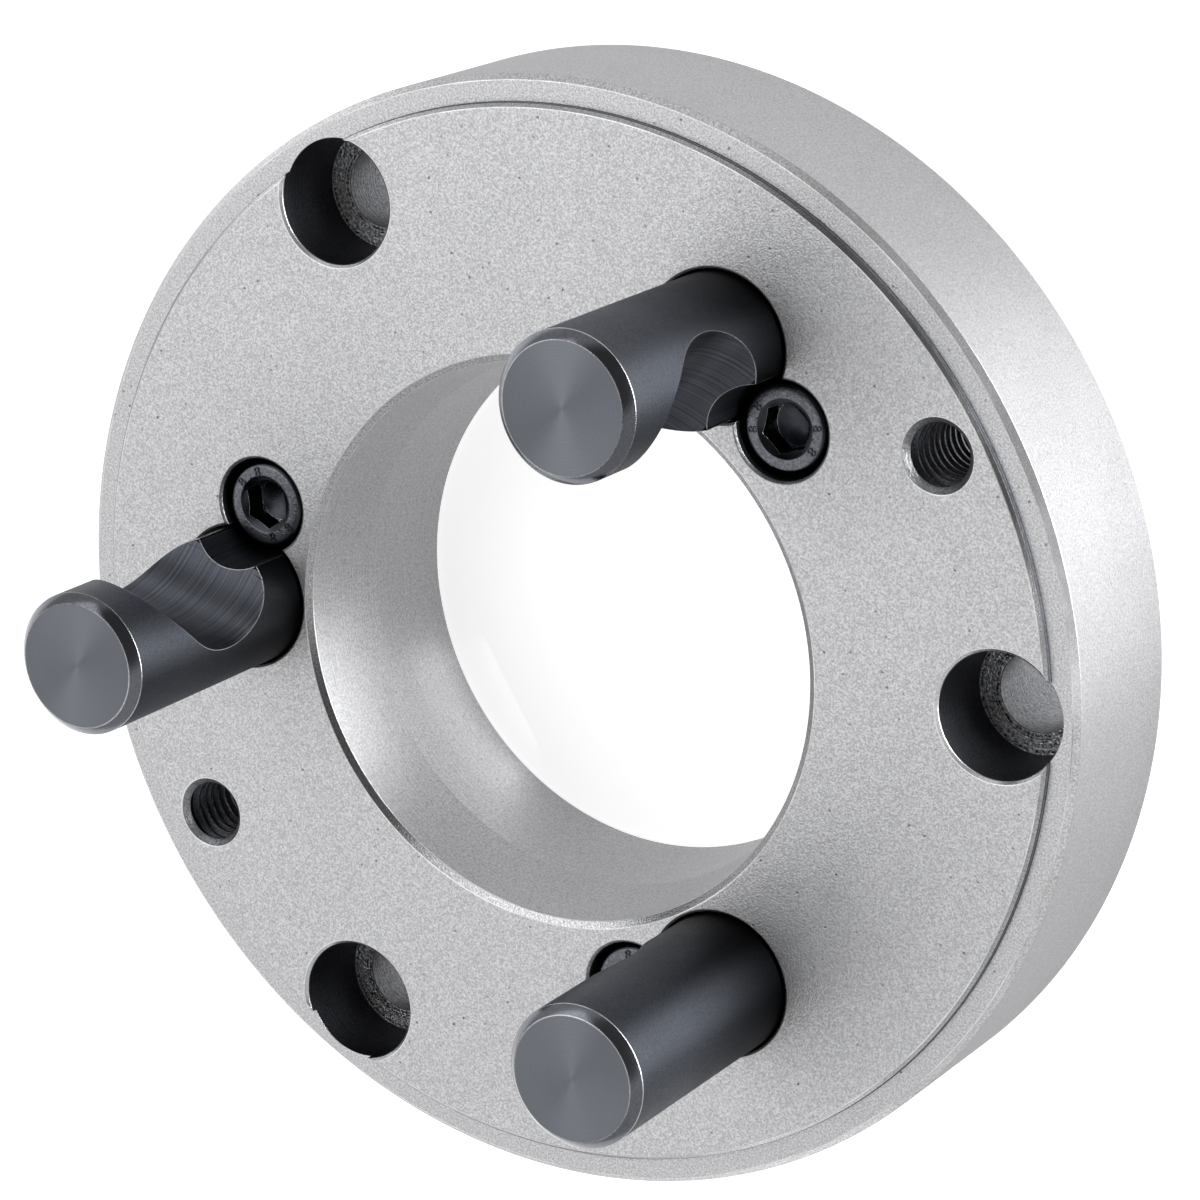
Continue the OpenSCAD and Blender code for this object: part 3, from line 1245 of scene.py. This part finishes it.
@dataclass
class LockScrew:
    """Socket screw beside a stud, with plain class numerals on its head."""

    number: int
    head_r: float = 5.0
    head_h: float = 6.0
    head_round: float = 0.85
    thread_r: float = 3.0
    thread_chamfer: float = 0.6
    socket_af: float = 5.0
    socket_depth: float = 3.0
    socket_rim_r: float = 3.35
    socket_rim_depth: float = 0.45
    drill_half_angle: float = 59.0
    drill_overlap: float = 0.2
    numerals: str = "8.8"
    numeral_size: float = 1.6
    numeral_r: float = 3.3
    numeral_height: float = 0.12
    numeral_step: float = 20.0
    turn_step: float = 137.0
    edge_break: float = 0.05
    edge_angle: float = 25.0
    sharp_angle: float = 30.0
    over: float = 1.0

    @property
    def node(self) -> str:
        """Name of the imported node."""
        return f"lock_screw_{self.number}"

    def blank(self, low: float, high: float) -> bpy.types.Mesh:
        """Turns the screw's outline between its ends.

        Args:
            low: height of the thread's end, in mm.
            high: height of the head's top, in mm.

        Returns:
            The blank, round the Z axis.
        """
        seat = high - self.head_h
        edge = arc((self.head_r - self.head_round, high - self.head_round), self.head_round, 0, 90, 8)
        return turned([
            (0, low),
            (self.thread_r - self.thread_chamfer, low),
            (self.thread_r, low + self.thread_chamfer),
            (self.thread_r, seat),
            (self.head_r, seat),
            *edge,
            (0, high),
        ], turns=128)

    def socket(self, high: float) -> list[bpy.types.Mesh]:
        """Tools for the hexagon socket, its drilled point and its countersink.

        Args:
            high: height of the head's top, in mm.

        Returns:
            The tools, round the Z axis.
        """
        floor = high - self.socket_depth
        corner_r = self.socket_af / 2 / math.cos(math.radians(30))
        drill_r = self.socket_af / 2
        point = floor - drill_r / math.tan(math.radians(self.drill_half_angle))
        above, rim = high + self.over, high - self.socket_rim_depth
        hexagon = [(0, floor), (corner_r, floor), (corner_r, above), (0, above)]
        drilled = floor + self.drill_overlap
        drill = [(0, point), (drill_r, floor), (drill_r, drilled), (0, drilled)]
        rim_r = self.socket_rim_r
        countersink = [(0, rim), (drill_r, rim), (rim_r, high), (rim_r, above), (0, above)]
        return [turned(hexagon, turns=6), turned(drill, turns=96), turned(countersink, turns=96)]

    def numeral_meshes(self, high: float) -> list[bpy.types.Mesh]:
        """Raised numerals on two sides of the head.

        Args:
            high: height of the head's top, in mm.

        Returns:
            One mesh for each character, in its place on the head.
        """
        meshes = []
        step = math.radians(self.numeral_step)
        for side in (0, math.pi):
            for index, character in enumerate(self.numerals):
                letter = bpy.data.curves.new("numeral", "FONT")
                letter.body = character
                letter.size = self.numeral_size * MM
                letter.extrude = self.numeral_height * MM
                letter.align_x = "CENTER"
                letter.resolution_u = 3
                holder = bpy.data.objects.new("numeral", letter)
                mesh = bpy.data.meshes.new_from_object(holder)
                bpy.data.objects.remove(holder)
                bpy.data.curves.remove(letter)
                turn = side - (index - (len(self.numerals) - 1) / 2) * step
                place = Matrix.Rotation(turn, 4, "Z") @ at(0, self.numeral_r, high)
                meshes.append(moved(mesh, place))
        return meshes

    def build(self) -> bpy.types.Object:
        """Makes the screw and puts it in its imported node's place.

        Returns:
            The finished piece.
        """
        low, high = ends_of(self.node)
        centre = centre_of(self.node)
        mesh = cut_away(self.blank(low, high), self.socket(high))
        mesh = edges_broken(mesh, self.edge_break, self.edge_angle, ScrewSlot.RUBBED)
        for face in mesh.polygons:
            if face.normal.z > LEVEL and face.center.z / MM > high - NEAR:
                face.material_index = ScrewSlot.TOP
        numerals = self.numeral_meshes(high)
        for numeral in numerals:
            for face in numeral.polygons:
                face.material_index = ScrewSlot.BODY if face.normal.z > LEVEL else ScrewSlot.RUBBED
        mesh = joined([mesh, *numerals])
        turn = Matrix.Rotation(math.radians(self.turn_step * self.number), 4, "Z")
        place = at(centre.x, centre.y) @ turn
        finishes = (SCREW_BODY, SCREW_TOP, SCREW_RUB)
        piece = shown(f"screw_{self.number}", mesh, place, self.sharp_angle, finishes)
        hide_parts(self.node)
        return piece


@dataclass(frozen=True)
class Softbox:
    """A soft lamp that looks at the plate, with its distance and size in metres and its aim in mm."""

    name: str
    azimuth: float
    elevation: float
    distance: float
    size: tuple[float, float]
    glow: float
    aim: tuple[float, float, float] = (0.0, 0.0, 0.0)

    def build(self) -> None:
        """Sets the lamp up in the studio."""
        lamp = bpy.data.lights.new(self.name, "AREA")
        lamp.shape = "RECTANGLE"
        lamp.size, lamp.size_y = self.size
        lamp.energy = self.glow * math.pi * self.size[0] * self.size[1]
        holder = new_object(self.name, lamp)
        holder.location = direction(self.azimuth, self.elevation) * self.distance
        back = holder.location - Vector(self.aim) * MM
        holder.rotation_euler = back.to_track_quat("Z", "Y").to_euler()
        holder.visible_camera = False


@dataclass(frozen=True)
class Studio:
    """Camera, lamps and pale floor, with lengths in mm and angles in degrees."""

    aim: tuple[float, float, float] = (2.1, -8.46, 25.0)
    azimuth: float = -90.36
    elevation: float = 55.52
    distance: float = 481.0
    roll: float = -115.85
    lens: float = 133.2
    floor_reach: float = 3000.0
    floor_drop: float = 0.02
    floor_colour: Colour = (0.82, 0.82, 0.82)
    floor_glow: float = 0.68
    room_light: float = 0.6
    dark_light: float = 0.12
    dark_azimuth: float = -77.0
    dark_elevation: float = 44.0
    dark_reach: tuple[float, float] = (50.0, 30.0)
    lamps: tuple[Softbox, ...] = (
        Softbox("overhead", 80, 58, 1.6, (2.2, 1.6), 0.59),
        Softbox("side", 8, 50, 0.5, (0.38, 0.38), 0.98),
        Softbox("front", -102, 9, 0.5, (0.46, 0.1), 24.0),
        Softbox("bore", 97, 2, 0.024, (0.014, 0.008), 2.2, aim=(-3.0, 32.0, 20.0)),
    )

    def camera(self) -> None:
        """Sets the scene's camera up at the photograph's angle."""
        lens = bpy.data.cameras.new("camera")
        lens.sensor_width = 36
        lens.lens = self.lens
        lens.clip_start = 0.01
        lens.clip_end = 20
        camera = new_object("camera", lens)
        back = direction(self.azimuth, self.elevation)
        level = back.to_track_quat("Z", "Y").to_matrix().to_4x4()
        place = Matrix.Translation((Vector(self.aim) + back * self.distance) * MM)
        camera.matrix_world = place @ level @ Matrix.Rotation(math.radians(self.roll), 4, "Z")
        bpy.context.scene.camera = camera

    def seen_white(self, sheet: Sheet) -> bpy.types.NodeSocket:
        """Tells what the camera, gloss and glass see from what lights the plate.

        Args:
            sheet: the sheet of a material.

        Returns:
            1 for what is seen, and 0 for what gives light.
        """
        path = sheet.add("LightPath")
        seen = sheet.math("MAXIMUM", path.outputs["Is Camera Ray"], path.outputs["Is Glossy Ray"])
        return sheet.math("MAXIMUM", seen, path.outputs["Is Transmission Ray"])

    def room(self) -> None:
        """Fills the room with even light, darker beside the camera, before a white background."""
        world = bpy.data.worlds.new("room")
        sheet = clean_sheet(world)
        seen = sheet.add("TexCoord").outputs["Generated"]
        aside = sheet.vector("DOT_PRODUCT", seen, direction(self.dark_azimuth, self.dark_elevation))
        edge, core = (math.cos(math.radians(angle)) for angle in self.dark_reach)
        room = sheet.ramp(aside, edge, core, self.room_light, self.dark_light)
        glow = sheet.math("MAXIMUM", sheet.add("LightPath").outputs["Is Camera Ray"], room)
        light = sheet.wired(sheet.add("Background"), Color=(1.0, 1.0, 1.0, 1.0), Strength=glow)
        sheet.wired(sheet.add("OutputWorld"), Surface=light.outputs["Background"])
        bpy.context.scene.world = world

    def floor(self) -> None:
        """Lays the pale floor, which keeps the plate's shadow and is clear from below."""
        material = bpy.data.materials.new("pale_floor")
        sheet = clean_sheet(material)
        shader = sheet.add("BsdfPrincipled")
        sheet.wired(shader, Base_Color=(*self.floor_colour, 1.0), Roughness=0.9, Specular_IOR_Level=0.0)
        glow = sheet.math("MULTIPLY", self.seen_white(sheet), self.floor_glow)
        sheet.wired(shader, Emission_Color=(1.0, 1.0, 1.0, 1.0), Emission_Strength=glow)
        clear = sheet.add("BsdfTransparent")
        side = sheet.add("MixShader")
        sheet.feed(side.inputs[0], sheet.add("NewGeometry").outputs["Backfacing"])
        sheet.feed(side.inputs[1], shader.outputs["BSDF"])
        sheet.feed(side.inputs[2], clear.outputs["BSDF"])
        sheet.wired(sheet.add("OutputMaterial"), Surface=side.outputs["Shader"])
        reach = self.floor_reach
        draft = Draft()
        signs = ((-1, -1), (1, -1), (1, 1), (-1, 1))
        draft.face([draft.point(x * reach, y * reach, -self.floor_drop) for x, y in signs])
        mesh = draft.mesh()
        mesh.materials.append(material)
        floor = new_object("floor", mesh)

    def build(self) -> None:
        """Sets the whole studio up."""
        self.camera()
        self.room()
        self.floor()
        for lamp in self.lamps:
            lamp.build()
        bpy.context.scene.view_settings.view_transform = "Standard"


def main() -> None:
    """Builds the plate, its studs and screws, and the studio round them."""
    logging.basicConfig(level=logging.INFO, format="%(name)s: %(message)s")
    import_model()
    Studio().build()
    report(AdapterPlate().build())
    for number in (1, 2, 3):
        report(CamStud(number).build())
        report(LockScrew(number).build())


if __name__ == "__main__":
    main()
